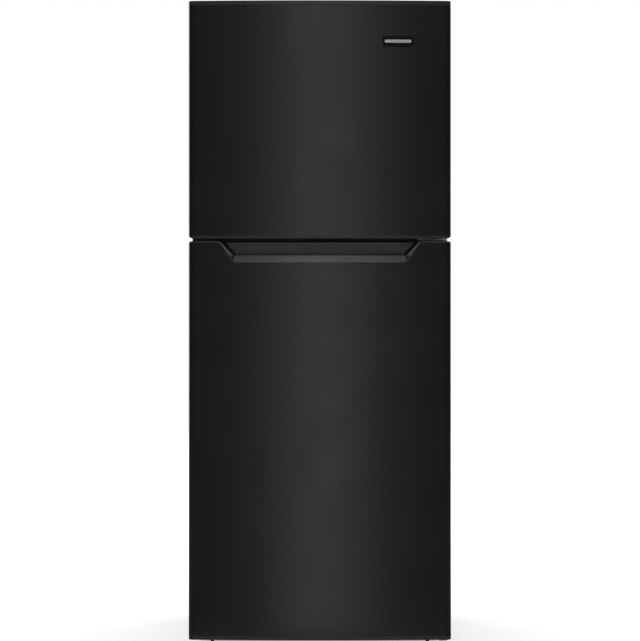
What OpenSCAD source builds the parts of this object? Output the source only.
/* [Overall] */
// Width across the doors
overall_w = 610; // [606:1:616]
// Height from the floor to the top of the freezer door
overall_h = 1521; // [1515:1:1530]
// Depth from the crown of the door fronts to the rear panel
overall_d = 676; // [670:1:690]

/* [Doors] */
// Thickness of a door at its crown, without the gasket
door_t = 62; // [61:1:64]
// How far the crown of a door front stands proud of its side edges
door_crown = 10; // [9:1:11]
// Radius of the upright front edges of a door
door_edge_r = 11; // [10:1:12]
// Radius of the door corners that face each other across the gap
gap_corner_r = 7; // [5:1:8]
// Radius of the other door corners
outer_corner_r = 1.5; // [1:0.5:3]
// Height of the lower door's bottom edge above the floor
door_z0 = 37; // [37:1:39]
// Height of the freezer door
freezer_door_h = 550; // [548:1:555]
// Gap between the two doors
door_gap = 8; // [8:1:9]
// Height of the visible rim of the freezer door's top cap
top_rim_h = 11; // [10:1:12]
// Height of the visible rim of the lower door's bottom cap
bottom_rim_h = 10; // [9:1:11]
// Height of the visible rims of the caps that face each other at the gap
gap_rim_h = 5; // [4:1:6]

/* [Handle pocket] */
// Half-width of the pocket's mouth at the top edge of the lower door
pocket_top_hw = 234; // [230:1:236]
// Half-width of the pocket's mouth at its lower edge
pocket_low_hw = 202; // [198:1:206]
// Height of the pocket's mouth
pocket_h = 48; // [46:1:50]
// Height of the bevelled lip along the lower edge of the mouth
lip_h = 14.5; // [13:0.5:15]
// Depth of the bevel behind the door front
lip_depth = 12; // [11:0.5:13]
// Depth of the pocket's back wall behind the crown of the door front
pocket_depth = 40; // [38:1:41]

/* [Cabinet] */
// How far the doors overhang the cabinet on each side
door_overhang = 5; // [4:1:6]
// Height of the underside of the cabinet above the floor
cabinet_z0 = 36; // [34:1:36]
// How far the cabinet top lies below the top of the freezer door
cabinet_drop = 18; // [17:1:19]
// Thickness of the insulation beside the fresh food compartment
fridge_wall = 42; // [40:1:44]
// Thickness of the insulation beside the freezer compartment
freezer_wall = 52; // [50:1:54]
// Thickness of the gasket between door and cabinet
gasket_t = 13; // [12.5:0.5:13.5]

/* [Hinges] */
// Distance from the door's side face to the hinge pins
pin_from_side = 17; // [16:1:18]
// Distance from the door's back plane to the hinge pins
pin_from_back = 22; // [21:1:23]
// Radius of the hinge pins
pin_r = 4; // [3.5:0.5:4.5]

/* [Interior] */
// Height of the lower glass shelf above the floor
shelf_1_z = 480; // [470:5:490]
// Height of the upper glass shelf above the floor
shelf_2_z = 690; // [680:5:700]
// Height of the freezer's wire shelf above the floor
wire_shelf_z = 1215; // [1205:5:1225]

/* [Hidden] */
$fn = 48;
cut = 1;                // overshoot of a cutting solid past the face that it opens
sheet_t = 1;            // painted steel sheet
skin_t = 0.8;           // door skin sheet
liner_t = 2;            // vacuum formed liner
cap_t = 3;              // wall of a moulded door cap
run_gap = 0.06;         // radial clearance of a running fit

// Planes of the whole appliance; the front faces -Y
front_y = -overall_d / 2;
back_y = overall_d / 2;
door_hw = overall_w / 2;
door_back_y = front_y + door_t;
face_y = door_back_y + gasket_t;
cab_hw = door_hw - door_overhang;
cab_z1 = overall_h - cabinet_drop;
freezer_door_z1 = overall_h;
freezer_door_z0 = overall_h - freezer_door_h;
fridge_door_z1 = freezer_door_z0 - door_gap;

// Crowned door front: one large arc in plan
crown_r = (door_hw * door_hw + door_crown * door_crown) / (2 * door_crown);
crown_cy = front_y + crown_r;
edge_cx = door_hw - door_edge_r;
edge_cy = crown_cy - sqrt(pow(crown_r - door_edge_r, 2) - edge_cx * edge_cx);
edge_a = atan2(edge_cy - crown_cy, edge_cx);

// Compartments
fridge_hw = cab_hw - fridge_wall;
fridge_z0 = 80;
fridge_z1 = fridge_door_z1 - 31;
fridge_y1 = back_y - 68;
freezer_hw = cab_hw - freezer_wall;
freezer_z0 = freezer_door_z0 + 31;
freezer_z1 = cab_z1 - 55;
freezer_y1 = back_y - 76;
room_r = 20;
step_y = 95;            // the fresh food floor steps up here, over the machine space
step_z = 262;
machine_y = 140;        // machine space at the rear bottom
machine_z = 220;
foam_y1 = back_y - 7;   // the condenser lies between the foam and the rear panel

// Hinge line
pin_x = door_hw - pin_from_side;
pin_y = door_back_y - pin_from_back;
bush_r = 7;
recess_z = cab_z1 - 1.5;
center_plate_z = fridge_door_z1 + 3.5;
top_screws = [[268, -232], [268, -205], [290, -218]];
center_screw_x = [237, 257];
center_screw_z = center_plate_z + 7.5;
bottom_screws = [[275, -240], [275, -212]];

// Evaporator and air path
evap_cover_y = 180;
fan_z = 1372;
fan_y = 205;
duct_hw = 60;
duct_y = [205, 245];
drain_x = -120;
flap_y = 225;
flap_z = 893;

// Machine space
comp_x = 95;
comp_y = 243;
comp_z = cabinet_z0 + 2;   // floor of the machine space
comp_feet = [for (dx = [-70, 70], dy = [-55, 55]) [comp_x + dx, comp_y + dy]];
suction_z = comp_z + 60;
discharge_z = comp_z + 48;
gland_x = 232;
gland_z = 62;
gland_y = 322;
roller_x = 255;
roller_y = 300;
roller_r = 16;
foot_x = 255;
foot_y = -225;

// Fittings of the fresh food compartment
knob_x = 45;
knob_z = 908;
housing_y = [-120, 60];
housing_z = 888;
switch_x = -fridge_hw - 5;
switch_z = 860;
drawer_y = [-138, 86];

// ---- outlines -------------------------------------------------------------------------

function arc_points(cx, cy, r, a0, a1, n) =
    [for (i = [0:n]) let (a = a0 + (a1 - a0) * i / n) [cx + r * cos(a), cy + r * sin(a)]];

function round_rect(x0, y0, x1, y1, r) = concat(
    arc_points(x1 - r, y1 - r, r, 0, 90, 6),
    arc_points(x0 + r, y1 - r, r, 90, 180, 6),
    arc_points(x0 + r, y0 + r, r, 180, 270, 6),
    arc_points(x1 - r, y0 + r, r, 270, 360, 6));

// Rectangle with one radius for its lower corners and another for its upper corners
function door_rect(hw, z0, z1, r0, r1) = concat(
    arc_points(hw - r1, z1 - r1, r1, 0, 90, 6), arc_points(r1 - hw, z1 - r1, r1, 90, 180, 6),
    arc_points(r0 - hw, z0 + r0, r0, 180, 270, 6), arc_points(hw - r0, z0 + r0, r0, 270, 360, 6));

function flip_x(points) = [for (i = [len(points) - 1:-1:0]) [-points[i][0], points[i][1]]];

// Plan of a door, drawn inset from its outer surface, with a flat back at y1
function door_plan(inset, y1) =
    let (corner = arc_points(edge_cx, edge_cy, door_edge_r - inset, 0, edge_a, 6),
         crown = arc_points(0, crown_cy, crown_r - inset, edge_a, -180 - edge_a, 24))
    concat([[door_hw - inset, y1]], corner, [for (i = [1:23]) crown[i]], flip_x(corner),
           [[inset - door_hw, y1]]);

function crown_y(x) = crown_cy - sqrt(crown_r * crown_r - x * x);

// ---- solids from outlines -------------------------------------------------------------

module prism_x(x0, x1, outline)
    translate([x0, 0, 0]) rotate([90, 0, 90]) linear_extrude(height = x1 - x0) polygon(outline);

module prism_y(y0, y1, outline)
    translate([0, y1, 0]) rotate([90, 0, 0]) linear_extrude(height = y1 - y0) polygon(outline);

module prism_z(z0, z1, outline)
    translate([0, 0, z0]) linear_extrude(height = z1 - z0) polygon(outline);

module box(lo, hi) translate(lo) cube(hi - lo);

module rod_x(p, r, length) translate(p) rotate([0, 90, 0]) cylinder(r = r, h = length);
module rod_y(p, r, length) translate(p) rotate([-90, 0, 0]) cylinder(r = r, h = length);
module rod_z(p, r, length) translate(p) cylinder(r = r, h = length);

module both_sides() {
    children();
    mirror([1, 0, 0]) children();
}

// ---- bent tubes -----------------------------------------------------------------------

function unit(v) = v / norm(v);

// Path whose inner corners are rounded over a length d
function soften(p, d, n) = concat([p[0]],
    [for (i = [1:len(p) - 2], k = [0:n])
        let (a = p[i] + d * unit(p[i - 1] - p[i]), b = p[i] + d * unit(p[i + 1] - p[i]), t = k / n)
        (1 - t) * (1 - t) * a + 2 * t * (1 - t) * p[i] + t * t * b],
    [p[len(p) - 1]]);

function heading(path, i) =
    unit(path[min(i + 1, len(path) - 1)] - path[max(i - 1, 0)]);

function square_to(v, axis) = unit(v - (v * axis) * axis);

// Side direction at each point, carried along without twisting
function sides_along(path, start) =
    [for (i = 0, s = square_to(start, heading(path, 0)); i < len(path);
          i = i + 1, s = square_to(s, heading(path, i))) s];

module tube(path, r, start, n = 8) {
    sides = sides_along(path, start);
    rings = len(path);
    points = [for (i = [0:rings - 1], k = [0:n - 1])
        path[i] + r * (cos(360 * k / n) * sides[i]
                       + sin(360 * k / n) * cross(heading(path, i), sides[i]))];
    walls = [for (i = [0:rings - 2], k = [0:n - 1])
        [i * n + k, (i + 1) * n + k, (i + 1) * n + (k + 1) % n, i * n + (k + 1) % n]];
    caps = [[for (k = [0:n - 1]) k], [for (k = [n - 1:-1:0]) (rings - 1) * n + k]];
    polyhedron(points, concat(walls, caps));
}

// ---- cabinet --------------------------------------------------------------------------

function fridge_mouth(inset) =
    round_rect(inset - fridge_hw, fridge_z0 + inset, fridge_hw - inset, fridge_z1 - inset,
               room_r - inset);

function freezer_mouth(inset) =
    round_rect(inset - freezer_hw, freezer_z0 + inset, freezer_hw - inset, freezer_z1 - inset,
               room_r - inset);

module fridge_room(inset, y0)
    difference() {
        prism_y(y0, fridge_y1 - inset, fridge_mouth(inset));
        box([-cab_hw, step_y - inset, 0], [cab_hw, back_y, step_z + inset]);
    }

module freezer_room(inset, y0) prism_y(y0, freezer_y1 - inset, freezer_mouth(inset));

module mullion_window()
    box([-fridge_hw - 6, face_y - cut, fridge_z1 - 6],
        [fridge_hw + 6, face_y + sheet_t, freezer_z0 + 6]);

module top_screw_holes(r, depth)
    for (p = top_screws) rod_z([p[0], p[1], cab_z1 - depth], r, depth + cut);

module center_screw_holes(r, depth)
    for (x = center_screw_x)
        rod_y([x, face_y - cut, center_screw_z], r, depth + cut);

module bottom_screw_holes(r, depth)
    for (p = bottom_screws) rod_z([p[0], p[1], cabinet_z0 - cut], r, depth + cut);

module air_duct(z0, z1)
    box([-duct_hw, duct_y[0], z0], [duct_hw, duct_y[1], z1]);

module cabinet_wrapper() color("#17181a")
    difference() {
        box([-cab_hw, face_y, cabinet_z0], [cab_hw, back_y, cab_z1]);
        box([sheet_t - cab_hw, face_y + sheet_t, cabinet_z0 - cut],
            [cab_hw - sheet_t, back_y + cut, cab_z1 - sheet_t]);
        fridge_room(0, face_y - cut);
        freezer_room(0, face_y - cut);
        mullion_window();
        rod_y([switch_x, face_y - cut, switch_z], 3.4, 4);
        top_screw_holes(2.4, 4);
    }

module back_panel() color("#b9bbbd")
    difference() {
        box([sheet_t - cab_hw, back_y - sheet_t, machine_z],
            [cab_hw - sheet_t, back_y, cab_z1 - sheet_t]);
        for (x = [-180, 0, 180])
            box([x - 60, back_y - 0.4, machine_z + 80], [x + 60, back_y + cut, cab_z1 - 90]);
    }

module roller_ear()
    prism_x(0, 2.4, concat(
        [[roller_y - 15, cabinet_z0 - seam], [roller_y - 15, roller_r]],
        arc_points(roller_y, roller_r, 11, 180, 360, 12),
        [[roller_y + 15, roller_r], [roller_y + 15, cabinet_z0 - seam]]));

pan_t = 1.2;              // sheet of the base
pan_hw = cab_hw - sheet_t;
seam = 0.05;              // hairline between two pieces of one sub-part

// Full width plate of the base, from one (y, z) corner to the other
module pan_plate(lo, hi) box([-pan_hw, lo[0], lo[1]], [pan_hw, hi[0], hi[1]]);

// Plates and brackets, spot welded together
module base_pan() color("#3a3c3f")
    difference() {
        union() {
            pan_plate([face_y + sheet_t, cabinet_z0], [machine_y - seam, cabinet_z0 + pan_t]);
            pan_plate([machine_y, cabinet_z0], [machine_y + pan_t, machine_z - seam]);
            pan_plate([machine_y, machine_z], [foam_y1, machine_z + pan_t]);
            pan_plate([machine_y + pan_t + seam, cabinet_z0], [back_y - 3, cabinet_z0 + 2]);
            both_sides() {
                box([pan_hw - pan_t, machine_y + pan_t + seam, cabinet_z0 + 2 + seam],
                    [pan_hw, foam_y1, machine_z - seam]);
                for (x = [roller_x - 14.4, roller_x + 12]) translate([x, 0, 0]) roller_ear();
            }
            box([gland_x - 20, gland_y - 1.5, cabinet_z0 + 2 + seam],
                [gland_x + 20, gland_y, gland_z + 24]);
        }
        both_sides() {
            rod_z([foot_x, foot_y, cabinet_z0 - cut], 4.3, 6);
            rod_x([roller_x - 20, roller_y, roller_r], 4, 40);
        }
        bottom_screw_holes(2.4, 4);
        rod_y([gland_x, gland_y - 4, gland_z], 9, 8);
        rod_z([drain_x, 300, machine_z - cut], 9, 4);
        for (p = comp_feet) rod_z([p[0], p[1], cabinet_z0 - cut], 4, 6);
    }

module drain_channel(r) {
    rod_z([drain_x, 300, machine_z - cut], r, 950 - machine_z);
    translate([drain_x, 300, 947]) rotate([45, 0, 0]) rod_z([0, 0, -10], r, 105);
}

// The insulation is laid in blocks, one to each wall, with hairline seams between them

module foam_block(lo, hi) box(lo + seam * [1, 1, 1], hi - seam * [1, 1, 1]);

// Strip behind one rounded corner of a compartment; up is 1 at its floor and -1 at its ceiling
module foam_corner(hw, z, up, y1)
    both_sides() difference() {
        foam_block([hw - room_r, face_y + sheet_t, min(z, z + up * room_r)],
                   [hw, y1, max(z, z + up * room_r)]);
        rod_y([hw - room_r, face_y, z + up * room_r], room_r, y1 - face_y + cut);
    }

module cabinet_foam() color("#e6d9a8") {
    hw = pan_hw;
    y0 = face_y + sheet_t;
    shelf_z = machine_z + pan_t;
    difference() {
        union() {
            foam_block([-hw, y0, freezer_z1], [hw, foam_y1, cab_z1 - sheet_t]);
            foam_block([-hw, y0, fridge_z1], [hw, foam_y1, freezer_z0]);
            foam_block([-hw, y0, cabinet_z0 + pan_t], [hw, machine_y, fridge_z0]);
            both_sides() {
                foam_block([freezer_hw, y0, freezer_z0], [hw, foam_y1, freezer_z1]);
                foam_block([fridge_hw, y0, shelf_z], [hw, foam_y1, fridge_z1]);
                foam_block([fridge_hw, y0, fridge_z0], [hw, machine_y, shelf_z]);
            }
            foam_block([-freezer_hw, freezer_y1, freezer_z0], [freezer_hw, foam_y1, freezer_z1]);
            foam_block([-fridge_hw, fridge_y1, step_z], [fridge_hw, foam_y1, fridge_z1]);
            foam_block([-fridge_hw, step_y, shelf_z], [fridge_hw, foam_y1, step_z]);
            foam_block([-fridge_hw, step_y, fridge_z0], [fridge_hw, machine_y, shelf_z]);
            foam_corner(freezer_hw, freezer_z0, 1, freezer_y1);
            foam_corner(freezer_hw, freezer_z1, -1, freezer_y1);
            foam_corner(fridge_hw, fridge_z0, 1, step_y);
            foam_corner(fridge_hw, fridge_z1, -1, fridge_y1);
        }
        air_duct(fridge_z1 - 10, freezer_z0 + 10);
        drain_channel(9);
        rod_y([switch_x, face_y - cut, switch_z], 3.4, 40);
        both_sides() rod_z([foot_x, foot_y, cabinet_z0], 7, 24);
        top_screw_holes(2.4, 14);
        center_screw_holes(2.4, 14);
        bottom_screw_holes(2.4, 14);
    }
}

module freezer_liner() color("#eef0f0")
    difference() {
        freezer_room(0, face_y);
        freezer_room(liner_t, face_y - cut);
        air_duct(freezer_z0 - 10, freezer_z0 + 10);
        drain_channel(9);
    }

// Ledges that carry the shelves, formed in the side walls
module shelf_ledge(z)
    both_sides() box([fridge_hw - 12, -118, z - 12], [fridge_hw - 1, 240, z]);

module fridge_liner() color("#f2f3f3")
    difference() {
        union() {
            difference() {
                fridge_room(0, face_y);
                fridge_room(liner_t, face_y - cut);
            }
            shelf_ledge(shelf_1_z);
            shelf_ledge(shelf_2_z);
        }
        air_duct(fridge_z1 - 10, fridge_z1 + 10);
    }

module mullion_rail() color("#1b1c1e")
    difference() {
        box([-fridge_hw - 6, face_y, fridge_z1 - 6],
            [fridge_hw + 6, face_y + sheet_t, freezer_z0 + 6]);
        fridge_room(0, face_y - cut);
        freezer_room(0, face_y - cut);
        center_screw_holes(2.4, 4);
    }

// ---- freezer compartment --------------------------------------------------------------

module evaporator_cover() color("#e9ebeb") {
    hw = freezer_hw - liner_t - 0.5;
    z0 = freezer_z0 + liner_t + 0.5;
    z1 = freezer_z1 - liner_t - 0.5;
    difference() {
        prism_y(evap_cover_y, evap_cover_y + 2.5, round_rect(-hw, z0, hw, z1, 17));
        for (i = [-4:4]) {
            reach = sqrt(pow(50, 2) - pow(i * 10, 2));
            box([-reach, evap_cover_y - cut, fan_z + i * 10 - 2.5],
                [reach, evap_cover_y + 4, fan_z + i * 10 + 2.5]);
        }
        for (x = [-200:20:200])
            box([x - 6, evap_cover_y - cut, z0 + 12], [x + 6, evap_cover_y + 4, z0 + 26]);
    }
}

coil_z = [1085, 1290];
coil_rows = 4;
coil_y = [208, 240];
fin_pitch = 32;

function coil_row_z(i) = coil_z[0] + 22 + i * (coil_z[1] - coil_z[0] - 44) / (coil_rows - 1);

// Finned coil: straight tubes through the fins, joined into one run by short risers
module evaporator_coil() color("#c9ccd0") {
    rise = coil_row_z(1) - coil_row_z(0);
    for (i = [-6:6])
        box([i * fin_pitch - 0.6, coil_y[0] - 14, coil_z[0]],
            [i * fin_pitch + 0.6, coil_y[1] + 14, coil_z[1]]);
    for (y = coil_y, i = [0:coil_rows - 1]) rod_x([-205, y, coil_row_z(i)], 4, 410);
    for (y = coil_y, i = [0:2:coil_rows - 2]) rod_z([202, y, coil_row_z(i)], 3, rise);
    for (y = coil_y, i = [1:2:coil_rows - 2]) rod_z([-202, y, coil_row_z(i)], 3, rise);
}

module fan_motor() color("#5c6066")
    difference() {
        union() {
            rod_y([0, fan_y + 18, fan_z], 22, 26);
            for (side = [-1, 1])
                box([side * 35 - 18, fan_y + 40, fan_z - 8], [side * 35 + 18, fan_y + 44, fan_z + 8]);
            for (side = [-1, 1])
                box([side * 50 - 3, evap_cover_y + 2.5, fan_z - 8],
                    [side * 50 + 3, fan_y + 44, fan_z + 8]);
        }
        rod_y([0, fan_y + 17, fan_z], 2.5 + run_gap, 16);
    }

module fan_blade() color("#d7d9db") {
    difference() {
        union() {
            rod_y([0, fan_y - 8, fan_z], 13, 16);
            for (a = [0:72:288])
                translate([0, fan_y, fan_z]) rotate([0, a, 0]) rotate([0, 0, 32])
                    translate([-11, -1, 8]) cube([22, 2, 34]);
        }
        rod_y([0, fan_y - 9, fan_z], 9, 3);
    }
    rod_y([0, fan_y + 7, fan_z], 2.5, 22);
}

module defrost_heater() color("#8c3b2e")
    tube(soften([[-200, 224, 1290], [-200, 224, 1058], [200, 224, 1058], [200, 224, 1290]], 22, 6),
         3.5, [1, 0, 0]);

module drain_tube() color("#d9dcdd") {
    difference() {
        union() {
            tube([[drain_x, 237, freezer_z0 + 20], [drain_x, 237, 1010], [drain_x, 241, 1006],
                  [drain_x, 296, 951], [drain_x, 300, 943], [drain_x, 300, 100]],
                 8, [1, 0, 0], 12);
            box([-215, 188, freezer_z0 + 18], [215, 256, freezer_z0 + 42]);
        }
        box([-212, 191, freezer_z0 + 21], [212, 253, freezer_z0 + 43]);
        rod_z([drain_x, 237, freezer_z0 + 8], 5, 25);
    }
}

module freezer_wire_shelf() color("#e4e6e8") {
    hw = freezer_hw - liner_t - 3;
    for (y = [-160, 0, 165]) rod_x([-hw, y, wire_shelf_z], 3, 2 * hw);
    for (x = [-225:25:225]) rod_y([x, -164, wire_shelf_z + 3.5], 1.8, 333);
}

// ---- fresh food compartment -----------------------------------------------------------

module air_duct_cover() color("#eceeee") {
    hw = 112;
    z0 = 856;
    z1 = fridge_z1 - liner_t - 0.2;
    y0 = 188;
    y1 = fridge_y1 - liner_t - 0.2;
    difference() {
        box([-hw, y0, z0], [hw, y1, z1]);
        box([2.5 - hw, y0 + 2.5, z0 + 2.5], [hw - 2.5, y1 + cut, z1 + cut]);
        for (x = [-90:15:90]) box([x - 4, y0 - cut, z0 + 8], [x + 4, y0 + 4, z0 + 30]);
        box([-28, y0 - cut, 906], [28, y0 + 4, 912]);
    }
    both_sides() difference() {
        box([duct_hw, flap_y - 6, z0 + 1], [duct_hw + 6, flap_y + 6, flap_z + 6]);
        rod_x([duct_hw - cut, flap_y, flap_z], 2 + run_gap, 5);
    }
}

module damper_flap() color("#cfd3d6") {
    box([3 - duct_hw, flap_y - 18, flap_z - 1], [duct_hw - 3, flap_y + 18, flap_z + 1]);
    rod_x([-duct_hw - 3, flap_y, flap_z], 2, 2 * duct_hw + 6);
}

module air_control_slider() color("#44484c") {
    box([-27, 182, 902], [-13, 187.7, 916]);
    box([-22, 187, 906.5], [-18, 193, 911.5]);
    box([-27, 190.8, 902], [-13, 193, 916]);
}

module control_housing() color("#e8eaea") {
    hw = 96;
    z1 = fridge_z1 - liner_t - 0.2;
    difference() {
        box([-hw, housing_y[0], housing_z], [hw, housing_y[1], z1]);
        box([2.5 - hw, housing_y[0] + 2.5, housing_z + 2.5], [hw - 2.5, housing_y[1] - 2.5, z1 + cut]);
        rod_y([knob_x, housing_y[0] - cut, knob_z], 5 + run_gap, 6);
        box([-66, -34, housing_z - cut], [66, 44, housing_z + 4]);
    }
}

module lamp_lens() color("#f6f4e6")
    difference() {
        union() {
            prism_z(housing_z - 9, housing_z + 0.5, round_rect(-65.5, -33.5, 65.5, 43.5, 12));
            box([-65.5, -33.5, housing_z], [65.5, 43.5, housing_z + 3]);
        }
        prism_z(housing_z - 7, housing_z + 4, round_rect(-63, -31, 63, 41, 10));
    }

module temperature_knob() color("#2b2e31") {
    difference() {
        union() {
            rod_y([knob_x, housing_y[0] - 5.5, knob_z], 19, 5);
            rod_y([knob_x, housing_y[0] - 16, knob_z], 15, 12);
            rod_y([knob_x, housing_y[0] - 6, knob_z], 5, 20);
            for (a = [0:20:340])
                translate([knob_x, housing_y[0] - 15, knob_z]) rotate([0, a, 0])
                    translate([14.5, 0, -0.9]) cube([1.3, 10, 1.8]);
        }
        box([knob_x - 0.8, housing_y[0] - 17, knob_z + 4],
            [knob_x + 0.8, housing_y[0] - 15.2, knob_z + 14]);
    }
}

module light_switch_plunger() color("#f0f0ee") {
    rod_y([switch_x, door_back_y + 0.2, switch_z], 3, 42);
    rod_y([switch_x, face_y + 8, switch_z], 3.3, 4);
}

module shelf_pair() for (z = [shelf_1_z, shelf_2_z]) translate([0, 0, z]) children();

shelf_hw = fridge_hw - liner_t - 2;

module shelf_panes() color("#c5d6d3")
    shelf_pair() box([12 - shelf_hw, -128, 5], [shelf_hw - 12, 250, 9]);

module shelf_frames() color("#e9ecec")
    shelf_pair() difference() {
        prism_z(0.2, 14, round_rect(-shelf_hw, -140, shelf_hw, 262, 8));
        box([8 - shelf_hw, -124, -cut], [shelf_hw - 8, 246, 15]);
        box([12 - shelf_hw, -128, 5], [shelf_hw - 12, 250, 15]);
    }

module crisper_cover() color("#bfd3d0")
    difference() {
        prism_z(step_z + liner_t + 0.2, step_z + liner_t + 8,
                round_rect(-fridge_hw + 4, -142, fridge_hw - 4, fridge_y1 - 4, 8));
        box([-fridge_hw + 24, -118, step_z + liner_t + 5], [fridge_hw - 24, fridge_y1 - 22, step_z + 20]);
    }

module crisper_drawer() color("#d4e0df") {
    hw = 236;
    z0 = fridge_z0 + liner_t + 1;
    z1 = step_z - 8;
    difference() {
        union() {
            prism_z(z0, z1, round_rect(-hw, drawer_y[0], hw, drawer_y[1], 10));
            prism_z(z1 - 4, z1, round_rect(-hw - 8, drawer_y[0] - 4, hw + 8, drawer_y[1], 10));
            prism_x(-130, 130, [
                [drawer_y[0] - 13, z1], [drawer_y[0] - 13, z1 - 24], [drawer_y[0] - 10.5, z1 - 24],
                [drawer_y[0] - 10.5, z1 - 3], [drawer_y[0] + 1, z1 - 3], [drawer_y[0] + 1, z1]]);
        }
        prism_z(z0 + 2.5, z1 + cut,
                round_rect(2.5 - hw, drawer_y[0] + 2.5, hw - 2.5, drawer_y[1] - 2.5, 8));
    }
}

// ---- machine space --------------------------------------------------------------------

module compressor() color("#16171a") {
    translate([comp_x, comp_y, comp_z]) rotate_extrude() polygon(concat(
        [[0, 14], [58, 14]], arc_points(58, 30, 16, -90, 0, 4), [[76, 30], [76, 84], [78, 86],
        [78, 92], [76, 94]], arc_points(46, 126, 30, 0, 70, 5), [[0, 164]]));
    difference() {
        translate([comp_x, comp_y, comp_z])
            prism_z(11, 14.5, round_rect(-84, -68, 84, 68, 14));
        for (p = comp_feet) rod_z([p[0], p[1], comp_z + 8], 7, 10);
    }
    rod_x([comp_x - 92, comp_y - 20, suction_z], 4, 20);
    rod_x([comp_x - 92, comp_y + 20, discharge_z], 3, 20);
}

module compressor_grommets() color("#222222")
    for (p = comp_feet) translate([p[0], p[1], comp_z])
        difference() {
            union() {
                rod_z([0, 0, 0], 11, 11);
                rod_z([0, 0, 10], 7, 5.5);
                rod_z([0, 0, 14.5], 10, 4);
            }
            rod_z([0, 0, -cut], 4, 21);
        }

module compressor_relay_cover() color("#2d2f33")
    difference() {
        translate([comp_x, comp_y, comp_z]) prism_z(40, 100, round_rect(70, -26, 104, 26, 5));
        rod_z([comp_x, comp_y, comp_z + 28], 78.3, 90);
    }

module refrigerant_lines() color("#b87333") {
    tube(soften([[comp_x - 92, comp_y - 20, suction_z], [-60, comp_y - 20, suction_z],
                 [-60, 170, 150], [-60, 170, machine_z]], 16, 5), 4, [0, 0, 1]);
    tube(soften([[comp_x - 92, comp_y + 20, discharge_z], [-20, comp_y + 20, discharge_z],
                 [-20, 334, 130], [-250, 334, 160], [-250, 334, 240]], 14, 5), 2.5, [0, 0, 1]);
    tube(soften([[250, 334, 240], [250, 334, 206], [230, 324, 190], [230, 294, 190]], 9, 5),
         2.5, [1, 0, 0]);
    translate([230, 300, 190]) rotate([90, 0, 0]) rotate_extrude() polygon([
        [0, 0], [4, 0], [9, 10], [9, 90], [4, 102], [0, 102]]);
    tube(soften([[230, 204, 190], [230, 158, 190], [60, 158, 196], [60, 158, machine_z]], 12, 5),
         1.5, [0, 0, 1]);
}

// Hot wall condenser: one tube in passes between the foam and the rear panel
condenser_rows = 8;

module condenser_tube() color("#3c3d40")
    tube(soften(concat([[-250, 334, 240]],
        [for (i = [0:condenser_rows - 1], end = [0, 1])
            [((i + end) % 2 == 0 ? -1 : 1) * 250, 334, 290 + i * 140]],
        [[250 + 20, 334, 290 + (condenser_rows - 1) * 140 + 20]]), 18, 4), 2.5, [0, 1, 0], 6);

module drip_pan() color("#24262a")
    difference() {
        prism_z(cabinet_z0 + 2.2, 84, round_rect(-270, 158, -100 + 60, 322, 12));
        prism_z(cabinet_z0 + 4.7, 85, round_rect(-267.5, 160.5, -102.5 + 60, 319.5, 10));
    }

module power_cord_gland() color("#111111")
    difference() {
        union() {
            rod_y([gland_x, gland_y - 7, gland_z], 9, 12);
            rod_y([gland_x, gland_y, gland_z], 13, 4);
            rod_y([gland_x, gland_y - 7, gland_z], 11, 5.5);
        }
        rod_y([gland_x, gland_y - 8, gland_z], 4.5, 14);
    }

// ---- hinges, screws, feet and rollers -------------------------------------------------

module top_hinge() color("#6e7276")
    difference() {
        union() {
            prism_z(cab_z1, cab_z1 + 3, [
                [pin_x - 30, -190], [cab_hw - 2, -190], [cab_hw - 2, face_y],
                [pin_x + 9, face_y - 6], [pin_x + 9, pin_y - 4], [pin_x + 4, pin_y - 9],
                [pin_x - 8, pin_y - 9], [pin_x - 24, face_y - 10], [pin_x - 30, face_y]]);
            rod_z([pin_x, pin_y, cab_z1 - 20], pin_r, 21);
        }
        for (p = top_screws) rod_z([p[0], p[1], cab_z1 - cut], 2.5, 5);
    }

module top_hinge_cover() color("#1a1b1d")
    difference() {
        prism_z(cab_z1 + 0.1, overall_h - 2, [
            [pin_x - 36, -184], [cab_hw - 0.5, -184], [cab_hw - 0.5, face_y + 0.5],
            [pin_x + 9.4, face_y - 7], [pin_x + 9.4, pin_y - 9.6], [pin_x - 9, pin_y - 9.6],
            [pin_x - 27, face_y - 8], [pin_x - 36, face_y + 1]]);
        prism_z(cab_z1 - cut, overall_h - 3.6, [
            [pin_x - 34.5, -185.5], [cab_hw - 1.9, -185.5], [cab_hw - 1.9, face_y],
            [pin_x + 9.1, face_y - 6.6], [pin_x + 9.1, pin_y - 9.1], [pin_x - 8.5, pin_y - 9.1],
            [pin_x - 25.5, face_y - 9], [pin_x - 34.5, face_y]]);
    }

module center_hinge() color("#77797c")
    difference() {
        union() {
            prism_z(center_plate_z, center_plate_z + 3.5, [
                [pin_x - 58, face_y], [pin_x + 9, face_y], [pin_x + 9, pin_y - 4],
                [pin_x + 4, pin_y - 9], [pin_x - 10, pin_y - 9], [pin_x - 58, face_y - 22]]);
            box([pin_x - 58, face_y - 2.5, center_plate_z - 6],
                [pin_x - 10, face_y, center_plate_z + 11]);
            rod_z([pin_x, pin_y, fridge_door_z1 - 14], pin_r, door_gap + 28);
            rod_z([pin_x, pin_y, fridge_door_z1 + 0.3], 6.8, door_gap - 0.6);
        }
        center_screw_holes(2.5, 4);
        for (x = center_screw_x) rod_y([x, face_y - 3, center_screw_z], 2.5, 4);
    }

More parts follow.
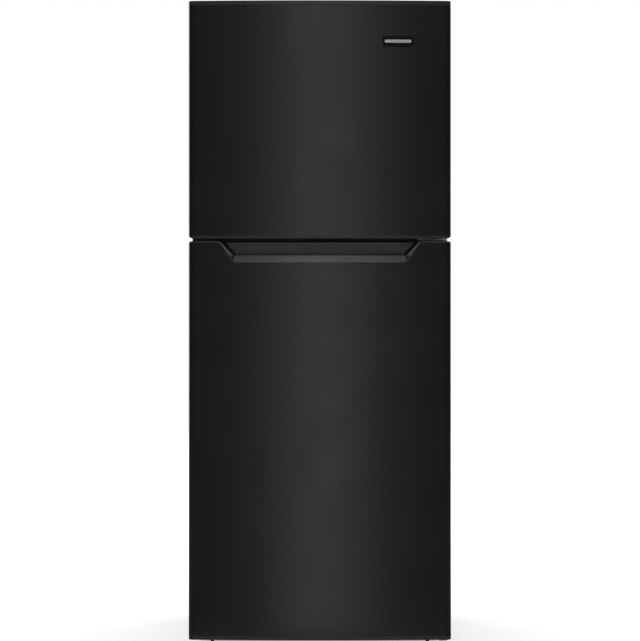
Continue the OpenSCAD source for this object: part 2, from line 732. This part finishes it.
module bottom_hinge() color("#6e7276")
    difference() {
        union() {
            prism_z(cabinet_z0 - 4, cabinet_z0, [
                [pin_x - 22, -198], [cab_hw - 2, -198], [cab_hw - 2, pin_y - 4],
                [pin_x + 6, pin_y - 10], [pin_x - 8, pin_y - 10], [pin_x - 22, face_y]]);
            rod_z([pin_x, pin_y, cabinet_z0 - 1], 7.5, door_z0 - cabinet_z0 + 0.6);
            rod_z([pin_x, pin_y, cabinet_z0 - 1], pin_r, door_z0 - cabinet_z0 + 16);
        }
        for (p = bottom_screws) rod_z([p[0], p[1], cabinet_z0 - 6], 2.5, 8);
    }

module screw(length, head_r) {
    difference() {
        rod_z([0, 0, 0], head_r, 2.4);
        for (a = [0, 90]) rotate([0, 0, a]) box([-2.6, -0.6, 1.2], [2.6, 0.6, 3]);
    }
    rod_z([0, 0, -length], 2.4, length + 0.2);
}

module hinge_screws() color("#9b9da0") {
    for (p = top_screws) translate([p[0], p[1], cab_z1 + 3]) screw(14, 4.6);
    for (x = center_screw_x)
        translate([x, face_y - 2.5, center_screw_z]) rotate([90, 0, 0]) screw(14, 3.4);
    for (p = bottom_screws)
        translate([p[0], p[1], cabinet_z0 - 4]) rotate([180, 0, 0]) screw(14, 4.6);
}

module roller_axles() color("#8d9094")
    both_sides() rod_x([roller_x - 17, roller_y, roller_r], 4, 34);

module roller() color("#1d1e20")
    translate([roller_x - 11.5, roller_y, roller_r]) rotate([0, 90, 0]) rotate_extrude() polygon([
        [4 + run_gap, 0], [8, 0], [8, 2], [roller_r - 2, 2], [roller_r, 4], [roller_r, 19],
        [roller_r - 2, 21], [8, 21], [8, 23], [4 + run_gap, 23]]);

module right_roller() roller();
module left_roller() mirror([1, 0, 0]) roller();

module levelling_foot() color("#202123") {
    translate([foot_x, foot_y, 0]) rotate_extrude() polygon([
        [0, 0], [17, 0], [19, 2], [19, 5], [10, 9], [0, 9]]);
    translate([foot_x, foot_y, 8.5]) cylinder(r = 8, h = 6, $fn = 6);
    rod_z([foot_x, foot_y, 14], 4, cabinet_z0 - 5);
}

module right_foot() levelling_foot();
module left_foot() mirror([1, 0, 0]) levelling_foot();

// ---- doors ----------------------------------------------------------------------------

// Outline of each door seen from the front, as a solid that its pieces are trimmed to
module freezer_door_face()
    prism_y(front_y - 5, door_back_y + 5,
            door_rect(door_hw, freezer_door_z0, freezer_door_z1, gap_corner_r, outer_corner_r));

module fridge_door_face()
    prism_y(front_y - 5, door_back_y + 5,
            door_rect(door_hw, door_z0, fridge_door_z1, outer_corner_r, gap_corner_r));

module door_shell(z0, z1)
    difference() {
        prism_z(z0, z1, door_plan(0, door_back_y));
        prism_z(z0 - cut, z1 + cut, door_plan(skin_t, door_back_y + cut));
    }

// Raised ring on the inside of a door, inset from the mouth of its compartment
module dyke(hw, z0, z1, width, shell, y0, y1)
    difference() {
        prism_y(y0, y1, round_rect(shell - hw, z0 + shell, hw - shell, z1 - shell, 18 - shell));
        prism_y(y0 - cut, y1 + cut, round_rect(width - shell - hw, z0 + width - shell,
            hw - width + shell, z1 - width + shell, 6 + shell));
    }

dyke_w = 28;
dyke_y = door_back_y + 35;
fridge_dyke = [fridge_hw - 14, fridge_z0 + 14, fridge_z1 - 14];
freezer_dyke = [freezer_hw - 14, freezer_z0 + 14, freezer_z1 - 14];

module door_liner(z0, z1, ring) {
    difference() {
        union() {
            box([skin_t - door_hw, door_back_y - liner_t, z0], [door_hw - skin_t, door_back_y, z1]);
            dyke(ring[0], ring[1], ring[2], dyke_w, 0, door_back_y - liner_t, dyke_y);
        }
        dyke(ring[0], ring[1], ring[2], dyke_w, liner_t, door_back_y - liner_t - cut, dyke_y - liner_t);
    }
}

// Slab between skin and liner, and a separate strip that fills the dyke
module door_foam(z0, z1, ring) {
    prism_z(z0, z1, door_plan(skin_t, door_back_y - liner_t));
    dyke(ring[0], ring[1], ring[2], dyke_w, liner_t, door_back_y - liner_t + seam,
         dyke_y - liner_t);
}

module frame_ring(hw, z0, z1, inner, outer, y0, y1)
    difference() {
        prism_y(y0, y1, round_rect(outer - hw, z0 + outer, hw - outer, z1 - outer, 5));
        prism_y(y0 - cut, y1 + cut, round_rect(inner - hw, z0 + inner, hw - inner, z1 - inner, 3));
    }

module gasket(z0, z1) {
    frame_ring(286, z0, z1, 18, 0, door_back_y, door_back_y + 4);
    frame_ring(286, z0, z1, 14, 4, door_back_y + 4, door_back_y + 8);
    frame_ring(286, z0, z1, 18, 0, door_back_y + 8, face_y - 0.3);
}

module bush(z, length, flange_z) {
    difference() {
        union() {
            rod_z([pin_x, pin_y, z], bush_r, length);
            rod_z([pin_x, pin_y, flange_z], bush_r + 2.5, 1.5);
        }
        rod_z([pin_x, pin_y, z - cut], pin_r + run_gap, length + 2 * cut);
    }
}

// Bin that clips between the dykes of a door, open at the top and low at its rear
module door_bin(hw, z0, depth, height) {
    wall = 2.5;
    y0 = door_back_y + 0.4;
    z1 = z0 + height;
    difference() {
        prism_z(z0, z1, round_rect(-hw, y0, hw, y0 + depth, 9));
        prism_z(z0 + wall, z1 + cut,
                round_rect(wall - hw, y0 + wall, hw - wall, y0 + depth - wall, 7));
        box([-hw - cut, y0 - cut, z0 + 0.55 * height], [hw + cut, y0 + 0.35 * depth, z1 + cut]);
    }
}

freezer_cap_z = freezer_door_z1 - 40;       // lower end of the top cap's skirt
grip_cap_z = freezer_door_z0 + 30;          // upper end of the bottom cap's skirt
handle_cap_z = fridge_door_z1 - 70;         // lower end of the handle cap's skirt
foot_cap_z = door_z0 + 23;                  // upper end of the lower door's bottom cap
grip_y = [front_y + 16, front_y + 40];      // finger space in both facing caps

module freezer_door_skin() color("#121314")
    difference() {
        intersection() {
            door_shell(freezer_door_z0 + gap_rim_h, freezer_door_z1 - top_rim_h);
            freezer_door_face();
        }
        hinge_recess(0);
    }

module hinge_recess(grow)
    box([pin_x - 33 - grow, pin_y - 22.5 - grow, recess_z - grow],
        [door_hw + cut, door_back_y + cut, freezer_door_z1 + cut]);

module freezer_door_top_cap() color("#17181a")
    intersection() {
        difference() {
            union() {
                prism_z(freezer_door_z1 - top_rim_h, freezer_door_z1, door_plan(0, door_back_y));
                prism_z(freezer_cap_z, freezer_door_z1 - top_rim_h,
                        door_plan(skin_t, door_back_y - liner_t));
            }
            difference() {
                prism_z(freezer_cap_z - cut, freezer_door_z1 - cap_t,
                        door_plan(skin_t + cap_t, door_back_y - liner_t - cap_t));
                hinge_recess(cap_t);
                rod_z([pin_x, pin_y, freezer_cap_z - cut], bush_r + cap_t, 60);
            }
            hinge_recess(0);
            rod_z([pin_x, pin_y, freezer_cap_z - 2 * cut], bush_r, 70);
            rod_z([pin_x, pin_y, recess_z - 1.5], bush_r + 2.5, 5);
        }
        freezer_door_face();
    }

module freezer_door_bottom_cap() color("#17181a")
    intersection() {
        difference() {
            union() {
                prism_z(freezer_door_z0, freezer_door_z0 + gap_rim_h, door_plan(0, door_back_y));
                prism_z(freezer_door_z0 + gap_rim_h, grip_cap_z,
                        door_plan(skin_t, door_back_y - liner_t));
            }
            difference() {
                prism_z(freezer_door_z0 + cap_t, grip_cap_z + cut,
                        door_plan(skin_t + cap_t, door_back_y - liner_t - cap_t));
                box([-pocket_top_hw, grip_y[0] - cap_t, 0],
                    [pocket_top_hw, grip_y[1] + cap_t, grip_cap_z]);
                rod_z([pin_x, pin_y, 0], bush_r + cap_t, grip_cap_z + 10);
            }
            box([4 - pocket_top_hw, grip_y[0], freezer_door_z0 - cut],
                [pocket_top_hw - 4, grip_y[1], grip_cap_z - cap_t]);
            rod_z([pin_x, pin_y, freezer_door_z0 - cut], bush_r, 60);
            rod_z([pin_x, pin_y, freezer_door_z0 - cut], bush_r + 2.5, cut + 1.5);
        }
        freezer_door_face();
    }

module freezer_door_foam() color("#e6d9a8")
    door_foam(grip_cap_z, freezer_cap_z, freezer_dyke);

module freezer_door_liner() color("#f0f1f1")
    difference() {
        door_liner(freezer_door_z0 + gap_rim_h, freezer_door_z1 - top_rim_h, freezer_dyke);
        hinge_recess(0);
    }

module freezer_door_gasket() color("#2a2b2d") gasket(freezer_door_z0 + 7, cab_z1 - 19);

module freezer_door_bins() color("#dfe8ea") {
    hw = freezer_dyke[0] - dyke_w - 1.5;
    for (z = [1058, 1232]) door_bin(hw, z, 78, 72);
}

module freezer_door_bushes() color("#d8d8d2") {
    bush(recess_z - 18, 18, recess_z - 1.5);
    bush(freezer_door_z0, 15, freezer_door_z0);
}

badge_x = 181;
badge_z = 1426;

module badge() color("#0a0a0b")
    translate([badge_x, crown_y(badge_x) - 0.2, badge_z]) rotate([0, 0, asin(badge_x / crown_r)])
        union() {
            prism_y(-1.4, 0, round_rect(-36, -12.5, 36, 12.5, 3));
            prism_y(-1.8, -1.2, round_rect(-31, -3.6, 31, 3.6, 3.4));
        }

// Mouth of the handle pocket on the door front
module mouth_prism() prism_y(front_y - 5, front_y + 25, [
    [-pocket_top_hw, fridge_door_z1], [-pocket_low_hw, fridge_door_z1 - pocket_h],
    [pocket_low_hw, fridge_door_z1 - pocket_h], [pocket_top_hw, fridge_door_z1]]);

module fridge_door_skin() color("#121314")
    difference() {
        intersection() {
            door_shell(door_z0 + bottom_rim_h, fridge_door_z1 - gap_rim_h);
            fridge_door_face();
        }
        mouth_prism();
    }

// One level of the pocket: its outline at a given depth behind the crowned front
pocket_cols = 10;
pocket_top_z = fridge_door_z1 + 4;

function pocket_level(top_hw, low_hw, low_z, depth, flat) = concat(
    [for (i = [0:pocket_cols]) let (x = low_hw * (2 * i / pocket_cols - 1))
        [x, depth + (flat ? front_y : crown_y(x)), low_z]],
    [for (i = [0:pocket_cols]) let (x = top_hw * (1 - 2 * i / pocket_cols))
        [x, depth + (flat ? front_y : crown_y(x)), pocket_top_z]]);

// The bevel leads from the mouth to a tapering shaft; it is carried on in front of the door,
// and the mouth's lean is carried on above the door
module pocket_hollow() {
    bevel_hw = [230, 195.5];
    back_hw = [215, 188];
    low_z = fridge_door_z1 - pocket_h;
    lean = (pocket_top_hw - pocket_low_hw) / pocket_h * (pocket_top_z - fridge_door_z1);
    front = -4 / lip_depth;
    levels = [
        pocket_level(pocket_top_hw + lean + (bevel_hw[0] - pocket_top_hw) * front,
                     pocket_low_hw + (bevel_hw[1] - pocket_low_hw) * front,
                     low_z + lip_h * front, lip_depth * front, false),
        pocket_level(bevel_hw[0] + lean, bevel_hw[1], low_z + lip_h, lip_depth, false),
        pocket_level(back_hw[0] + lean, back_hw[1], low_z + lip_h + 1, pocket_depth, true)];
    n = len(levels[0]);
    back = (len(levels) - 1) * n;
    walls = [for (j = [0:len(levels) - 2], k = [0:n - 1])
        [j * n + k, j * n + (k + 1) % n, (j + 1) * n + (k + 1) % n, (j + 1) * n + k]];
    mouth_cap = [for (i = [0:pocket_cols - 1]) [i, n - 1 - i, n - 2 - i, i + 1]];
    back_cap = [for (i = [0:pocket_cols - 1])
        [back + i, back + i + 1, back + n - 2 - i, back + n - 1 - i]];
    quads = concat(walls, mouth_cap, back_cap);
    polyhedron(
        [for (level = levels, p = level) p],
        [for (q = quads, half = [[0, 1, 2], [0, 2, 3]]) [for (c = half) q[c]]]);
}

module fridge_door_handle_cap() color("#18191b")
    difference() {
        intersection() {
            union() {
                prism_z(fridge_door_z1 - gap_rim_h, fridge_door_z1, door_plan(0, door_back_y));
                intersection() {
                    prism_z(fridge_door_z1 - pocket_h, fridge_door_z1, door_plan(0, door_back_y));
                    mouth_prism();
                }
                prism_z(handle_cap_z, fridge_door_z1 - gap_rim_h,
                        door_plan(skin_t, door_back_y - liner_t));
            }
            fridge_door_face();
        }
        difference() {
            prism_z(handle_cap_z - cut, fridge_door_z1 - cap_t,
                    door_plan(skin_t + cap_t, door_back_y - liner_t - cap_t));
            box([-pocket_top_hw - 6, front_y - 1, handle_cap_z - 2],
                [pocket_top_hw + 6, grip_y[1] + cap_t, fridge_door_z1]);
            rod_z([pin_x, pin_y, handle_cap_z], bush_r + cap_t, 90);
        }
        pocket_hollow();
        box([-186, grip_y[0], handle_cap_z + cap_t + 4], [186, grip_y[1], fridge_door_z1 - 30]);
        rod_z([pin_x, pin_y, fridge_door_z1 - 40], bush_r, 50);
        rod_z([pin_x, pin_y, fridge_door_z1 - 1.5], bush_r + 2.5, 4);
    }

module fridge_door_bottom_cap() color("#17181a")
    intersection() {
        difference() {
            union() {
                prism_z(door_z0, door_z0 + bottom_rim_h, door_plan(0, door_back_y));
                prism_z(door_z0 + bottom_rim_h, foot_cap_z, door_plan(skin_t, door_back_y - liner_t));
            }
            difference() {
                prism_z(door_z0 + cap_t, foot_cap_z + cut,
                        door_plan(skin_t + cap_t, door_back_y - liner_t - cap_t));
                rod_z([pin_x, pin_y, 0], bush_r + cap_t, 100);
            }
            rod_z([pin_x, pin_y, door_z0 - cut], bush_r, 60);
            rod_z([pin_x, pin_y, door_z0 - cut], bush_r + 2.5, cut + 1.5);
        }
        fridge_door_face();
    }

module fridge_door_foam() color("#e6d9a8")
    door_foam(foot_cap_z, handle_cap_z, fridge_dyke);

module fridge_door_liner() color("#f0f1f1")
    door_liner(door_z0 + bottom_rim_h, fridge_door_z1 - gap_rim_h, fridge_dyke);

module fridge_door_gasket() color("#2a2b2d") gasket(door_z0 + 16, fridge_door_z1 - 7);

module fridge_door_bins() color("#dfe8ea")
    for (z = [530, 730]) door_bin(fridge_dyke[0] - dyke_w - 1.5, z, 96, 78);

module fridge_door_gallon_bin() color("#dfe8ea")
    door_bin(fridge_dyke[0] - dyke_w - 1.5, 286, 116, 112);

module fridge_door_bushes() color("#d8d8d2") {
    bush(fridge_door_z1 - 18, 18, fridge_door_z1 - 1.5);
    bush(door_z0, 20, door_z0);
}

// ---- assembly -------------------------------------------------------------------------

cabinet_wrapper();
back_panel();
base_pan();
cabinet_foam();
freezer_liner();
fridge_liner();
mullion_rail();
evaporator_cover();
evaporator_coil();
condenser_tube();
fan_motor();
defrost_heater();
drain_tube();
freezer_wire_shelf();
air_duct_cover();
control_housing();
lamp_lens();
shelf_panes();
shelf_frames();
crisper_cover();
compressor();
compressor_grommets();
compressor_relay_cover();
refrigerant_lines();
drip_pan();
power_cord_gland();
top_hinge();
top_hinge_cover();
center_hinge();
bottom_hinge();
hinge_screws();
roller_axles();
fan_blade();
damper_flap();
air_control_slider();
temperature_knob();
light_switch_plunger();
crisper_drawer();
left_foot();
right_foot();
left_roller();
right_roller();
freezer_door_skin();
freezer_door_top_cap();
freezer_door_bottom_cap();
freezer_door_foam();
freezer_door_liner();
freezer_door_gasket();
freezer_door_bins();
freezer_door_bushes();
badge();
fridge_door_skin();
fridge_door_handle_cap();
fridge_door_bottom_cap();
fridge_door_foam();
fridge_door_liner();
fridge_door_gasket();
fridge_door_bins();
fridge_door_gallon_bin();
fridge_door_bushes();
